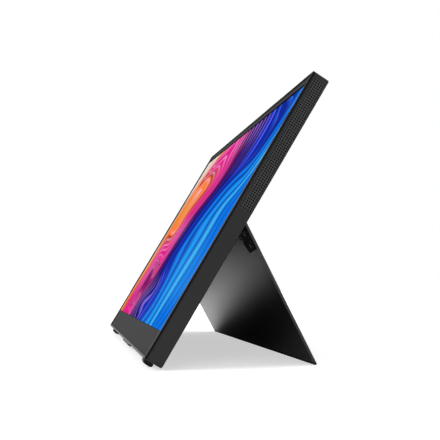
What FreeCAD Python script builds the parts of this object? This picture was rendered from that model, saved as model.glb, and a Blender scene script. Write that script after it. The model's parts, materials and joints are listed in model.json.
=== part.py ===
"""Portable monitor: a flat display in a shallow housing with a full-width folding stand.

Every piece is drawn in the panel's own frame, with X to the right of someone who faces the screen, Y
into the panel from the front of the rim and Z up the panel from the housing's lower edge. The panel
is then leaned back, the stand is swung open until it meets the floor, and the whole is put on its origin,
the middle of its bounding box at floor level.
"""
import FreeCAD
import Part
import math
import os

# Driving dimensions, in millimetres and degrees
screen_width = 309.4
screen_height = 174.0
side_border = 6.3
top_border = 9.8
chin_height = 18.2
corner_radius = 2.0
lean_angle = 30.8
hinge_height = 97.8

# Clearances
fit = 0.05
slip = 0.15
swing_gap = 0.3
overrun = 1.0

# Glass and front frame
glass_sink = 0.7
glass_thickness = 0.6
frame_lip = 1.45
frame_edge_chamfer = 0.4
frame_band = 2.4
skirt_depth = 1.8
skirt_wall = 0.9
post_radius = 2.2
post_spread_shares = (0.37, 0.75)

# Display module
cell_margin = 1.6
cell_top_margin = 2.6
cell_foot_margin = 8.0
cell_thickness = 0.8
film_margin = 1.0
film_thickness = 0.5
guide_thickness = 1.5
reflector_thickness = 0.2
tray_wall = 0.4
light_bar_height = 4.0
driver_board_length = 200.0
driver_board_height = 10.0
driver_board_thickness = 1.2
foil_count = 4
foil_width = 18.0
foil_thickness = 0.15
foil_drop = 0.8

# Rear cover
side_wall = 1.5
back_wall = 1.5
back_edge_chamfer = 0.5
recess_wall = 1.3
recess_clearance = 0.5
step_wall = 1.5
stand_rim = 1.5

# Side grilles
grille_columns = 5
grille_edge = 1.27
grille_hole = 0.86
grille_web = 0.3
grille_thickness = 0.9
grille_ledge = 0.25
grille_top_gap = 4.5
right_grille_length = 92.4
left_grille_length = 11.1

# Feet
foot_inset = 18.5
foot_length = 10.0
foot_front_gap = 0.7
foot_drop = 3.1
foot_seat = 0.6
foot_nose_radius = 2.2
foot_flat = 0.6

# Stand
stand_thickness = 1.6
stand_taper = 7.0
edge_strip_height = 2.0
edge_strip_flat = 0.3

# Hinges
hinge_inset = 16.0
knuckle_radius = 1.7
leaf_knuckle_length = 9.0
bracket_knuckle_length = 6.7
pin_radius = 0.9
pin_running_gap = 0.05
leaf_width = 23.4
leaf_length = 20.0
leaf_thickness = 0.9
leaf_outline_shares = ((-0.5, 0.52), (-0.28, 0.52), (-0.28, 0.64), (-0.38, 0.64), (-0.2, 1.0), (0.5, 0.88))
leaf_slot_width = 2.0
leaf_slot_share = -0.12
leaf_slot_top_share = 0.6
bracket_thickness = 1.2
bracket_reach = 8.0
pocket_floor = 1.2

# Keys under the chin
key_pitch = 11.0
key_length = 8.0
key_depth = 2.6
key_drop = 2.2
key_travel = 0.5
key_shoulder = 0.6
key_shoulder_thickness = 0.7
surround_thickness = 1.0
surround_seat = 0.4
surround_margin = 1.2
surround_end_margin = 4.0
key_board_thickness = 0.8
key_board_margin = 6.0
key_board_depth = 4.2
key_post_width = 2.8
switch_length = 4.0
switch_height = 1.1
plunger_height = 0.4
plunger_size = 1.4

# Main board and sockets
board_width = 107.5
board_height = 39.5
board_gap = 0.6
board_thickness = 0.8
board_boss_height = 0.5
board_boss_size = 4.0
board_edge_gap = 2.0
socket_lip = 0.6
socket_length = 8.4
socket_wall = 0.3
socket_mouth_depth = 6.4
usb_width = 8.34
usb_height = 2.56
tongue_width = 6.7
tongue_thickness = 0.7
tongue_setback = 0.8
video_width = 10.4
video_height = 2.4
video_corner = 0.7
audio_radius = 1.8
audio_body = 4.0
audio_length = 12.0
audio_bore_depth = 11.0
audio_rise = 4.1
video_rise = 12.5
lower_usb_rise = 23.0
upper_usb_rise = 33.5
chip_size = 12.0
chip_thickness = 1.2
shield_width = 30.0
shield_height = 24.0
shield_depth = 2.4
shield_wall = 0.3
plug_height = 5.0
display_plug_inset = 20.0
key_plug_inset = 6.0
insulator_thickness = 0.15

# Speakers, leads and flat cables
speaker_length = 42.0
speaker_height = 13.0
speaker_depth = 4.9
speaker_top_gap = 5.0
speaker_wall_gap = 0.2
cone_rim = 1.4
cone_depth = 3.4
cone_recess = 0.8
lead_width = 1.6
lead_thickness = 0.6
lead_bend = 6.0
lead_rise = 23.5
lead_edge_gap = 0.6
display_cable_width = 12.0
key_cable_width = 6.0
cable_thickness = 0.3
display_cable_gap = 0.4
key_cable_gap = 0.3
key_cable_turn = 24.0

# Screws, with few sides because they are small
screw_sides = 8
screw_head_radius = 1.5
screw_head_height = 0.5
screw_shank_radius = 0.7
leaf_screw_reach = 0.9
cover_screw_reach = 4.0
leaf_screw_shares = ((-0.28, 0.42), (0.22, 0.36), (0.22, 0.76))

# The panel's outline
body_width = screen_width + 2 * side_border
body_height = screen_height + chin_height + top_border
half_width = body_width / 2
half_screen = screen_width / 2
screen_top = chin_height + screen_height
inner_half_width = half_width - side_wall

# Depths, from the front of the rim to the back of the cover
glass_back = glass_sink + glass_thickness
cell_back = glass_back + cell_thickness
film_back = cell_back + film_thickness
guide_back = film_back + guide_thickness
reflector_back = guide_back + reflector_thickness
tray_back = reflector_back + tray_wall
driver_back = tray_back + driver_board_thickness
socket_front = tray_back + insulator_thickness + fit + fit
socket_plane = socket_front + audio_body / 2
board_front = socket_front + audio_body + fit
board_back = board_front + board_thickness
inner_back = board_back + board_boss_height
body_depth = inner_back + back_wall

# The display module's outlines
cell_half = half_screen + cell_margin
cell_foot = chin_height - cell_foot_margin
cell_top = screen_top + cell_top_margin
guide_half = half_screen + film_margin
guide_top = screen_top + film_margin
guide_foot = chin_height - film_margin
tray_half = cell_half + 2 * tray_wall
tray_foot = cell_foot - 2 * tray_wall
tray_top = cell_top + 2 * tray_wall
tray_front = frame_band + fit
driver_foot = tray_foot + 2 * foil_drop
driver_top = driver_foot + driver_board_height
fold_foot = tray_foot - foil_drop
chin_flange = fold_foot - overrun
post_height = chin_flange - post_radius

# The stand, its recess and its hinges
recess_floor = body_depth - stand_thickness - recess_clearance
recess_inner = recess_floor - recess_wall
stand_inner = body_depth - stand_thickness
swing_radius = knuckle_radius + slip + fit
hinge_depth = body_depth - swing_radius
recess_top = hinge_height + swing_radius + swing_gap
stand_top_half = half_width - stand_rim - swing_gap
stand_foot_half = stand_top_half - stand_taper
hinge_place = half_width - hinge_inset
hinge_sides = (("left", -1), ("right", 1))
knuckle_clear = knuckle_radius + swing_gap
leaf_back = stand_inner - leaf_thickness
bracket_near = leaf_knuckle_length / 2 + swing_gap
bracket_half = bracket_near + bracket_knuckle_length
bracket_foot = recess_top + step_wall + fit
bracket_front = inner_back - bracket_thickness
slot_half = bracket_half + swing_gap + swing_gap

# The side grilles
side_flat_back = body_depth - back_edge_chamfer
grille_pitch = (side_flat_back - frame_band - 2 * grille_edge) / (grille_columns - 1)
grille_rim = grille_hole / 2 + grille_web
grille_top = body_height - grille_top_gap
grille_front = frame_band + grille_edge
grille_back = side_flat_back - grille_edge

# The feet and the keys
foot_outer = half_width - foot_inset
foot_back = recess_floor - swing_gap
foot_front = frame_band + foot_front_gap
key_names = ("power_key", "menu_key", "back_key", "down_key", "up_key")
key_row_half = (len(key_names) - 1) * key_pitch / 2
key_plane = frame_band + swing_gap + surround_margin + key_depth / 2
surround_half = key_row_half + key_length / 2 + surround_end_margin
surround_front = key_plane - key_depth / 2 - surround_margin
surround_back = key_plane + key_depth / 2 + surround_margin
shoulder_foot = side_wall + swing_gap
shoulder_top = shoulder_foot + key_shoulder_thickness
plunger_foot = shoulder_top + key_travel + swing_gap
switch_foot = plunger_foot + plunger_height
key_board_foot = switch_foot + switch_height
key_board_top = key_board_foot + key_board_thickness
key_board_half = key_row_half + key_length / 2 + key_board_margin
key_board_front = key_plane - key_board_depth / 2
key_board_back = key_plane + key_board_depth / 2

# The main board, the speakers and the cables
board_foot = bracket_foot + bracket_reach + board_gap
board_top = board_foot + board_height
board_left = -inner_half_width + board_edge_gap
board_right = board_left + board_width
socket_mouth = -half_width + socket_lip
speaker_top = body_height - side_wall - speaker_top_gap
speaker_foot = speaker_top - speaker_height
speaker_outer = inner_half_width - speaker_wall_gap
speaker_inner = speaker_outer - speaker_length
speaker_middle = (speaker_outer + speaker_inner) / 2
speaker_front = inner_back - speaker_depth
lead_front = board_front + fit
display_plug = board_right - display_plug_inset
key_plug = board_right - key_plug_inset
display_cable_plane = tray_back + display_cable_gap
key_cable_plane = driver_back + key_cable_gap

# The lean, the floor and the stand's opening
lean = math.radians(lean_angle)
floor_drop = foot_drop * math.cos(lean) + foot_back * math.sin(lean) - foot_flat
hinge_above_floor = floor_drop + hinge_height * math.cos(lean) - hinge_depth * math.sin(lean)
stand_offset = stand_inner - hinge_depth
stand_reach = math.hypot(hinge_height, stand_offset)
stand_corner_turn = math.atan2(stand_offset, hinge_height)
stand_tilt = math.acos((hinge_above_floor + edge_strip_flat) / stand_reach) - stand_corner_turn
open_angle = lean_angle + math.degrees(stand_tilt)

right = FreeCAD.Vector(1, 0, 0)
inward = FreeCAD.Vector(0, 1, 0)
up = FreeCAD.Vector(0, 0, 1)


def at(x, depth, height):
    return FreeCAD.Vector(x, depth, height)


def block(x0, x1, depth0, depth1, foot, top):
    """A block between two places across, two depths and two heights."""
    return Part.makeBox(x1 - x0, depth1 - depth0, top - foot, at(x0, depth0, foot))


def block_about(centre, half, depth0, depth1, foot, top):
    """A block that reaches as far to the left of a place as to the right."""
    return block(centre - half, centre + half, depth0, depth1, foot, top)


def side_block(side, near, far, depth0, depth1, foot, top):
    """A block between two distances from the middle, on the left (-1) or the right (1)."""
    return block(min(side * near, side * far), max(side * near, side * far), depth0, depth1, foot, top)


def prism(points, travel):
    """A straight extrusion of a closed outline."""
    return Part.Face(Part.makePolygon(list(points) + [points[0]])).extrude(travel)


def rounded_wire(first, second, low, high, radius, place):
    """A rectangle with round corners, in the plane of two directions through a place."""
    def spot(a, b):
        return place + first * a + second * b

    turn = radius * (1 - math.sqrt(1 / 2))
    a0, b0 = low
    a1, b1 = high
    curves = [
        Part.LineSegment(spot(a0 + radius, b0), spot(a1 - radius, b0)),
        Part.Arc(spot(a1 - radius, b0), spot(a1 - turn, b0 + turn), spot(a1, b0 + radius)),
        Part.LineSegment(spot(a1, b0 + radius), spot(a1, b1 - radius)),
        Part.Arc(spot(a1, b1 - radius), spot(a1 - turn, b1 - turn), spot(a1 - radius, b1)),
        Part.LineSegment(spot(a1 - radius, b1), spot(a0 + radius, b1)),
        Part.Arc(spot(a0 + radius, b1), spot(a0 + turn, b1 - turn), spot(a0, b1 - radius)),
        Part.LineSegment(spot(a0, b1 - radius), spot(a0, b0 + radius)),
        Part.Arc(spot(a0, b0 + radius), spot(a0 + turn, b0 + turn), spot(a0 + radius, b0)),
    ]
    return Part.Wire([curve.toShape() for curve in curves])


def panel_plate(inset, depth0, depth1):
    """A plate parallel to the screen with the housing's outline, moved in by an inset all round."""
    half = half_width - inset
    wire = rounded_wire(right, up, (-half, inset), (half, body_height - inset), corner_radius - inset,
                        at(0, depth0, 0))
    return Part.Face(wire).extrude(inward * (depth1 - depth0))


def small_rod(place, radius, length, axis):
    """A screw's round part, with few sides, along the panel's depth."""
    turns = [2 * math.pi * side / screw_sides for side in range(screw_sides)]
    rim = [place + right * (radius * math.cos(turn)) + up * (radius * math.sin(turn)) for turn in turns]
    return prism(rim, axis * length)


def rod_across(x0, x1, depth, height, radius):
    """A round rod across the width."""
    return Part.makeCylinder(radius, x1 - x0, at(x0, depth, height), right)


def edges_at_depth(shape, depth):
    """The edges that lie wholly in the plane at one depth."""
    return [edge for edge in shape.Edges if all(abs(vertex.Y - depth) < fit for vertex in edge.Vertexes)]


def join(shapes):
    return shapes[0].multiFuse(shapes[1:]).removeSplitter()


def cut_all(shape, tools):
    for tool in tools:
        shape = shape.cut(tool)
    return shape


# Display module
def cover_glass():
    return panel_plate(frame_lip + fit, glass_sink, glass_back)


def display_cell():
    return block_about(0, cell_half, glass_back, cell_back, cell_foot, cell_top)


def light_sheet(front, back):
    """A sheet of the light path, as large as the light guide."""
    return block_about(0, guide_half, front, back, guide_foot, guide_top)


def light_bar():
    """The lamp strip along the light guide's lower edge."""
    return block_about(0, guide_half, film_back, guide_back, guide_foot - light_bar_height, guide_foot)


def display_tray():
    """A shallow metal tray that holds the light guide and carries the driver board."""
    outer = block_about(0, tray_half, tray_front, tray_back, tray_foot, tray_top)
    room_half = tray_half - tray_wall
    return outer.cut(block_about(0, room_half, tray_front - overrun, reflector_back,
                                 tray_foot + tray_wall, tray_top - tray_wall))


def driver_board():
    half = driver_board_length / 2
    return block_about(0, half, tray_back, driver_back, driver_foot, driver_top)


def driver_foils():
    """Foils that leave the cell's lower edge and fold round the tray to the driver board."""
    cell_middle = (glass_back + cell_back) / 2
    board_middle = (tray_back + driver_back) / 2
    fold_top = fold_foot + foil_thickness
    cell_side = cell_middle + foil_thickness
    board_side = board_middle - foil_thickness
    route = ((cell_middle, cell_foot), (cell_middle, fold_foot), (board_middle, fold_foot),
             (board_middle, driver_foot), (board_side, driver_foot), (board_side, fold_top),
             (cell_side, fold_top), (cell_side, cell_foot))
    pitch = driver_board_length / foil_count
    foils = []
    for place in range(foil_count):
        left = -driver_board_length / 2 + pitch * place + (pitch - foil_width) / 2
        foils.append(prism([at(left, depth, height) for depth, height in route], right * foil_width))
    return Part.makeCompound(foils)


# Housing
def post_places():
    return [side * share * half_width for side in (-1, 1) for share in post_spread_shares]


def front_frame():
    """The black rim round the sunk glass, with a ledge behind it, a skirt and the cover's screw posts."""
    band = panel_plate(0, 0, frame_band)
    band = band.makeChamfer(frame_edge_chamfer, edges_at_depth(band, 0))
    window = block_about(0, cell_half + slip, 0, frame_band + overrun, chin_flange, cell_top + slip)
    shapes = [band.cut(panel_plate(frame_lip, -overrun, glass_back)).cut(window)]
    rim = side_wall + slip
    inside = rim + skirt_wall
    skirt_front = frame_band - fit
    skirt_back = frame_band + skirt_depth
    run = half_width - corner_radius
    key_gap = key_board_half + swing_gap
    shapes.append(block_about(0, run, skirt_front, skirt_back, body_height - inside, body_height - rim))
    for side in (-1, 1):
        shapes.append(side_block(side, key_gap, run, skirt_front, skirt_back, rim, inside))
        shapes.append(side_block(side, half_width - inside, half_width - rim, skirt_front, skirt_back,
                                 corner_radius, body_height - corner_radius))
    post_length = recess_inner - skirt_front - fit
    for x in post_places():
        shapes.append(small_rod(at(x, skirt_front, post_height), post_radius, post_length, inward))
    frame = join(shapes)
    drill_length = cover_screw_reach + overrun
    return cut_all(frame, [small_rod(at(x, recess_inner + overrun, post_height), screw_shank_radius + fit,
                                     drill_length, -inward) for x in post_places()])


def tapered_plate(gap, foot, top, depth0, depth1):
    """A plate with the stand's tapered outline between two heights, grown by a gap at each side."""
    slope = stand_taper / hinge_height
    foot_half = stand_foot_half + gap + slope * foot
    top_half = stand_foot_half + gap + slope * top
    points = [at(-foot_half, depth0, foot), at(foot_half, depth0, foot),
              at(top_half, depth0, top), at(-top_half, depth0, top)]
    return prism(points, inward * (depth1 - depth0))


def grille_rows(length):
    return round(length / grille_pitch) + 1


def grille_outline(side, length, near, far, grow):
    """The block that a grille fills in a side wall, grown by a margin all round."""
    foot = grille_top - (grille_rows(length) - 1) * grille_pitch - grille_rim - grow
    return side_block(side, near, far, grille_front - grille_rim - grow, grille_back + grille_rim + grow,
                      foot, grille_top + grille_rim + grow)


def grille(side, length):
    """A punched strip that fills its seat in the side wall, flush with the wall's outer face."""
    sheet = grille_outline(side, length, half_width - grille_thickness, half_width, 0)
    face = [face for face in sheet.Faces if abs(face.CenterOfMass.x - side * half_width) < fit][0]
    half = grille_hole / 2
    wires = [face.OuterWire]
    for row in range(grille_rows(length)):
        height = grille_top - row * grille_pitch
        for column in range(grille_columns):
            depth = grille_front + column * grille_pitch
            corners = ((-half, -half), (half, -half), (half, half), (-half, half), (-half, -half))
            outline = [at(side * half_width, depth + a, height + b) for a, b in corners]
            wires.append(Part.makePolygon(outline))
    return Part.makeFace(wires, "Part::FaceMakerBullseye").extrude(right * (-side * grille_thickness))


def grille_seats(side, length):
    """The stepped opening that takes a grille: a seat as deep as the strip, then a smaller window."""
    outer = half_width + overrun
    return [grille_outline(side, length, half_width - grille_thickness, outer, fit),
            grille_outline(side, length, inner_half_width - overrun, outer, -grille_ledge)]


def socket_heights():
    """The flat sockets: how high each sits and how wide and high its mouth is."""
    return ((board_foot + upper_usb_rise, usb_width, usb_height),
            (board_foot + lower_usb_rise, usb_width, usb_height),
            (board_foot + video_rise, video_width, video_height))


def socket_openings():
    """The holes in the left wall that the sockets show through."""
    x0 = -half_width - overrun
    x1 = -inner_half_width + overrun
    holes = [rod_across(x0, x1, socket_plane, board_foot + audio_rise, audio_body / 2 + slip)]
    for height, width, opening in socket_heights():
        half = width / 2 + socket_wall + slip
        low = opening / 2 + socket_wall + slip
        holes.append(block(x0, x1, socket_plane - low, socket_plane + low, height - half, height + half))
    return holes


def board_bosses():
    """The low pads on the back wall that the main board lies on."""
    near = board_left + socket_length
    size = board_boss_size
    pads = []
    for x0 in (near, board_right - size):
        for foot in (board_foot, board_top - size):
            pads.append(block(x0, x0 + size, board_back, inner_back + fit, foot, foot + size))
    return pads


def rear_cover():
    """The shell behind the frame: side walls, back wall and a tapered recess for the folded stand."""
    shell = panel_plate(0, frame_band, body_depth)
    shell = shell.makeChamfer(back_edge_chamfer, edges_at_depth(shell, body_depth))
    shell = shell.cut(panel_plate(side_wall, frame_band - overrun, inner_back))
    leaf_half = leaf_width / 2 + swing_gap
    leaf_foot = hinge_height - leaf_length - swing_gap
    pad_half = leaf_half + recess_wall
    pad_front = leaf_back - swing_gap - pocket_floor
    shapes = [shell, block_about(0, inner_half_width + fit, recess_inner, inner_back + fit,
                                 side_wall - fit, recess_top + step_wall)]
    for name, side in hinge_sides:
        shapes.append(block_about(side * hinge_place, pad_half, pad_front, recess_inner + fit,
                                  leaf_foot - recess_wall, hinge_height - knuckle_clear))
    shapes.extend(board_bosses())
    for side in (-1, 1):
        shapes.append(side_block(side, key_board_half - key_post_width, key_board_half, key_board_front,
                                 key_board_back, side_wall - fit, key_board_foot))

    cuts = [tapered_plate(swing_gap, -overrun, recess_top, recess_floor, body_depth + overrun)]
    for name, side in hinge_sides:
        centre = side * hinge_place
        cuts.append(block_about(centre, slot_half, pad_front - overrun, inner_back,
                                hinge_height - knuckle_clear, recess_top + step_wall + overrun))
        cuts.append(block_about(centre, leaf_half, leaf_back - swing_gap, recess_floor + overrun,
                                leaf_foot, hinge_height))
    cuts.extend(grille_seats(1, right_grille_length))
    cuts.extend(grille_seats(-1, left_grille_length))
    cuts.extend(socket_openings())
    cuts.extend(key_well(centre, -overrun, side_wall + overrun) for centre in key_centres())
    cuts.append(block_about(0, surround_half + fit, surround_front - fit, surround_back + fit,
                            -overrun, surround_seat))
    for side in (-1, 1):
        cuts.append(side_block(side, foot_outer - foot_length - fit, foot_outer + fit, foot_front - fit,
                               foot_back + fit, -overrun, foot_seat))
    for x in post_places():
        place = at(x, recess_floor - screw_head_height, post_height)
        cuts.append(small_rod(place, screw_head_radius + fit, screw_head_height + overrun, inward))
        cuts.append(small_rod(place, screw_shank_radius + fit, recess_wall + overrun, -inward))
    return cut_all(join(shapes), cuts)


def screw(place, axis, reach):
    """A screw whose head ends at a place and whose shank runs on from there along the axis."""
    head = small_rod(place, screw_head_radius, screw_head_height, -axis)
    return join([head, small_rod(place - axis * fit, screw_shank_radius, reach + fit, axis)])


def cover_screws():
    depth = recess_floor - screw_head_height
    reach = cover_screw_reach - recess_wall
    return Part.makeCompound([screw(at(x, depth, post_height), -inward, reach) for x in post_places()])


def foot(side):
    """A rubber foot with a round nose, drawn as a profile and carried along the housing's edge."""
    x0 = min(side * foot_outer, side * (foot_outer - foot_length))
    nose = foot_nose_radius
    turn = nose * (1 - math.sqrt(1 / 2))
    low = -foot_drop
    curves = [
        Part.LineSegment(at(x0, foot_back, foot_seat), at(x0, foot_back, low)),
        Part.LineSegment(at(x0, foot_back, low), at(x0, foot_front + nose, low)),
        Part.Arc(at(x0, foot_front + nose, low), at(x0, foot_front + turn, low + turn),
                 at(x0, foot_front, low + nose)),
        Part.LineSegment(at(x0, foot_front, low + nose), at(x0, foot_front, foot_seat)),
        Part.LineSegment(at(x0, foot_front, foot_seat), at(x0, foot_back, foot_seat)),
    ]
    return Part.Face(Part.Wire([curve.toShape() for curve in curves])).extrude(right * foot_length)


# Keys
def key_centres():
    return [-key_row_half + key_pitch * place for place in range(len(key_names))]


def key_block(centre, grow, foot, top):
    """A key's outline between two heights, grown by a margin all round."""
    half = key_length / 2 + grow
    reach = key_depth / 2 + grow
    return block_about(centre, half, key_plane - reach, key_plane + reach, foot, top)


def key_well(centre, foot, top):
    return key_block(centre, swing_gap, foot, top)


def key(centre):
    """A key: a cap that shows under the chin and a shoulder that keeps it in the housing."""
    return join([key_block(centre, 0, -key_drop, shoulder_top),
                 key_block(centre, key_shoulder, shoulder_foot, shoulder_top)])


def key_surround():
    plate = block_about(0, surround_half, surround_front, surround_back,
                        surround_seat - surround_thickness, surround_seat)
    low = -surround_thickness - overrun
    return cut_all(plate, [key_well(centre, low, overrun) for centre in key_centres()])


def key_board():
    return block_about(0, key_board_half, key_board_front, key_board_back, key_board_foot, key_board_top)


def key_switches():
    switches = []
    for centre in key_centres():
        half = switch_length / 2
        stem = plunger_size / 2
        base = block_about(centre, half, key_plane - key_depth / 2, key_plane + key_depth / 2,
                           switch_foot, key_board_foot)
        plunger = block_about(centre, stem, key_plane - stem, key_plane + stem, plunger_foot, switch_foot)
        switches.append(join([base, plunger]))
    return Part.makeCompound(switches)


# Main board and sockets
def cable_plug(centre, width, plane):
    """The connector on the main board that a flat cable lies against."""
    half = width / 2 + socket_wall
    return block_about(centre, half, plane + cable_thickness, board_front + fit,
                       board_foot, board_foot + plug_height)


def main_board():
    board = block(board_left, board_right, board_front, board_back, board_foot, board_top)
    return join([board, cable_plug(display_plug, display_cable_width, display_cable_plane),
                 cable_plug(key_plug, key_cable_width, key_cable_plane)])


def flat_socket(height, width, opening, mouth):
    """A metal-cased socket on the board: a mouth to the left with a tongue in its middle."""
    half = width / 2 + socket_wall
    low = opening / 2 + socket_wall
    back = socket_mouth + socket_length
    case = block(socket_mouth, back, socket_plane - low, socket_plane + low, height - half, height + half)
    base = block(board_left, back, socket_plane, board_front, height - half, height + half)
    tongue = block(socket_mouth + tongue_setback, socket_mouth + socket_mouth_depth + fit,
                   socket_plane - tongue_thickness / 2, socket_plane + tongue_thickness / 2,
                   height - tongue_width / 2, height + tongue_width / 2)
    return join([join([case, base]).cut(mouth), tongue])


def usb_socket(rise):
    """A socket whose mouth is rounded at both ends."""
    height = board_foot + rise
    low = (socket_plane - usb_height / 2, height - usb_width / 2)
    high = (socket_plane + usb_height / 2, height + usb_width / 2)
    wire = rounded_wire(inward, up, low, high, usb_height / 2 - fit, at(socket_mouth - overrun, 0, 0))
    mouth = Part.Face(wire).extrude(right * (socket_mouth_depth + overrun))
    return flat_socket(height, usb_width, usb_height, mouth)


def video_socket():
    """A socket whose mouth has two cut corners on the side away from the board."""
    height = board_foot + video_rise
    front = socket_plane - video_height / 2
    back = socket_plane + video_height / 2
    half = video_width / 2
    start = socket_mouth - overrun
    outline = ((back, -half), (back, half), (front + video_corner, half), (front, half - video_corner),
               (front, -half + video_corner), (front + video_corner, -half))
    mouth = prism([at(start, depth, height + rise) for depth, rise in outline],
                  right * (socket_mouth_depth + overrun))
    return flat_socket(height, video_width, video_height, mouth)


def audio_socket():
    """A round socket with a bore for a jack plug."""
    height = board_foot + audio_rise
    half = audio_body / 2
    collar = rod_across(socket_mouth, board_left + overrun, socket_plane, height, half)
    body = block(board_left, socket_mouth + audio_length, socket_front, board_front,
                 height - half, height + half)
    bore_end = socket_mouth + audio_bore_depth
    bore = rod_across(socket_mouth - overrun, bore_end, socket_plane, height, audio_radius)
    return join([collar, body]).cut(bore)


def chip_block(width, height, depth0, depth1):
    """A block over the middle of the main board."""
    x = (board_left + board_right) / 2
    middle = (board_foot + board_top) / 2
    return block_about(x, width / 2, depth0, depth1, middle - height / 2, middle + height / 2)


def scaler_chip():
    return chip_block(chip_size, chip_size, board_front - chip_thickness, board_front)


def shield_can():
    front = board_front - shield_depth
    room = 2 * shield_wall
    can = chip_block(shield_width, shield_height, front, board_front)
    return can.cut(chip_block(shield_width - room, shield_height - room, front + shield_wall,
                              board_front + overrun))


def insulator_sheet():
    return block(board_left + socket_length, board_right, tray_back, tray_back + insulator_thickness,
                 board_foot, board_top)


# Speakers, leads and flat cables
def speaker(side):
    """A long box speaker whose end has a sunk cone, its corners cut, that faces the grille."""
    box = side_block(side, speaker_inner, speaker_outer, speaker_front, inner_back,
                     speaker_foot, speaker_top)
    middle = (speaker_front + inner_back) / 2
    half = cone_depth / 2
    low = speaker_foot + cone_rim
    high = speaker_top - cone_rim
    corner = half / 2
    outline = ((middle - half, low + corner), (middle - corner, low), (middle + corner, low),
               (middle + half, low + corner), (middle + half, high - corner), (middle + corner, high),
               (middle - corner, high), (middle - half, high - corner))
    start = side * (speaker_outer - cone_recess)
    rim = [at(start, depth, height) for depth, height in outline]
    return box.cut(prism(rim, right * (side * (cone_recess + overrun))))


def left_speaker_lead():
    """A flat twin lead that lies on the main board on its way up to the left speaker."""
    return block_about(-speaker_middle, lead_width / 2, board_front - lead_thickness, board_front,
                       board_foot + lead_edge_gap, speaker_foot)


def right_speaker_lead():
    """A flat twin lead from the main board along the housing, with a bend up to the right speaker."""
    half = lead_width / 2
    height = board_foot + lead_rise
    bend = speaker_middle - lead_bend
    bend_top = height + lead_bend

    def spot(x, height):
        return at(x, lead_front, height)

    def line(*ends):
        return Part.LineSegment(*ends)

    def corner(radius):
        turn = radius * math.sqrt(1 / 2)
        return Part.Arc(spot(bend, bend_top - radius), spot(bend + turn, bend_top - turn),
                        spot(bend + radius, bend_top))

    low = height - half
    high = height + half
    near = speaker_middle - half
    far = speaker_middle + half
    curves = [
        line(spot(board_right, low), spot(bend, low)),
        corner(lead_bend + half),
        line(spot(far, bend_top), spot(far, speaker_foot)),
        line(spot(far, speaker_foot), spot(near, speaker_foot)),
        line(spot(near, speaker_foot), spot(near, bend_top)),
        corner(lead_bend - half),
        line(spot(bend, high), spot(board_right, high)),
        line(spot(board_right, high), spot(board_right, low)),
    ]
    wire = Part.Wire(Part.sortEdges([curve.toShape() for curve in curves])[0])
    return Part.Face(wire).extrude(inward * lead_thickness)


def display_cable():
    half = display_cable_width / 2
    return block_about(display_plug, half, display_cable_plane,
                       display_cable_plane + cable_thickness, driver_top, board_foot + plug_height)


def key_cable():
    """A flat cable that steps sideways on its way down from the main board to the key board."""
    half = key_cable_width / 2
    high = board_foot + plug_height
    step = -key_row_half
    turn = key_cable_turn
    over = key_cable_turn + key_cable_width
    route = ((key_plug - half, high), (key_plug - half, turn), (step - half, turn),
             (step - half, key_board_top), (step + half, key_board_top), (step + half, over),
             (key_plug + half, over), (key_plug + half, high))
    return prism([at(x, key_cable_plane, height) for x, height in route], inward * cable_thickness)


# Hinges and stand, drawn folded
def pin_bore(centre, gap):
    reach = slot_half + overrun
    return rod_across(centre - reach, centre + reach, hinge_depth, hinge_height, pin_radius + gap)


def hinge_bracket(side):
    """The fixed half: a plate on the back wall's inside with two knuckles at the hinge line."""
    centre = side * hinge_place
    shapes = [block_about(centre, bracket_half, bracket_front, inner_back,
                          bracket_foot, bracket_foot + bracket_reach)]
    for x0 in (centre - bracket_half, centre + bracket_near):
        x1 = x0 + bracket_knuckle_length
        shapes.append(rod_across(x0, x1, hinge_depth, hinge_height, knuckle_radius))
        shapes.append(block(x0, x1, bracket_front, inner_back, hinge_height, bracket_foot + fit))
    return join(shapes).cut(pin_bore(centre, fit / 2))


def hinge_pin(side):
    centre = side * hinge_place
    return rod_across(centre - bracket_half, centre + bracket_half, hinge_depth, hinge_height, pin_radius)


def leaf_spots(side, shares):
    """Places on a leaf, from shares of its width outwards from the middle and of its length down."""
    return [(side * (hinge_place + across * leaf_width), hinge_height - along * leaf_length)
            for across, along in shares]


def leaf_screw_places(side):
    return leaf_spots(side, leaf_screw_shares)


def hinge_leaf(side):
    """The moving half: a notched plate with two prongs on the stand's inner face, and one knuckle."""
    centre = side * hinge_place
    half = side * leaf_width / 2
    neck = leaf_knuckle_length / 2
    leaf_top = hinge_height - knuckle_clear
    outline = leaf_spots(side, leaf_outline_shares)
    outline.extend([(centre + half, leaf_top), (centre - half, leaf_top)])
    leaf = join([prism([at(x, leaf_back, height) for x, height in outline], inward * leaf_thickness),
                 block_about(centre, neck, leaf_back, stand_inner, leaf_top - fit, hinge_height),
                 rod_across(centre - neck, centre + neck, hinge_depth, hinge_height, knuckle_radius)])
    slot = side * (hinge_place + leaf_slot_share * leaf_width)
    slot_top = hinge_height - leaf_slot_top_share * leaf_length
    cuts = [pin_bore(centre, pin_running_gap),
            block_about(slot, leaf_slot_width / 2, leaf_back - overrun, stand_inner + overrun,
                        hinge_height - leaf_length - overrun, slot_top)]
    for x, height in leaf_screw_places(side):
        place = at(x, leaf_back + screw_head_height, height)
        cuts.append(small_rod(place, screw_head_radius + fit, screw_head_height + overrun, -inward))
        cuts.append(small_rod(place, screw_shank_radius + fit, leaf_thickness + overrun, inward))
    return cut_all(leaf, cuts)


def leaf_screws():
    """The screws that hold the leaves to the stand, their heads sunk in the leaves."""
    depth = leaf_back + screw_head_height
    reach = leaf_thickness - screw_head_height + leaf_screw_reach
    return Part.makeCompound([screw(at(x, depth, height), inward, reach)
                              for name, side in hinge_sides for x, height in leaf_screw_places(side)])


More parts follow.
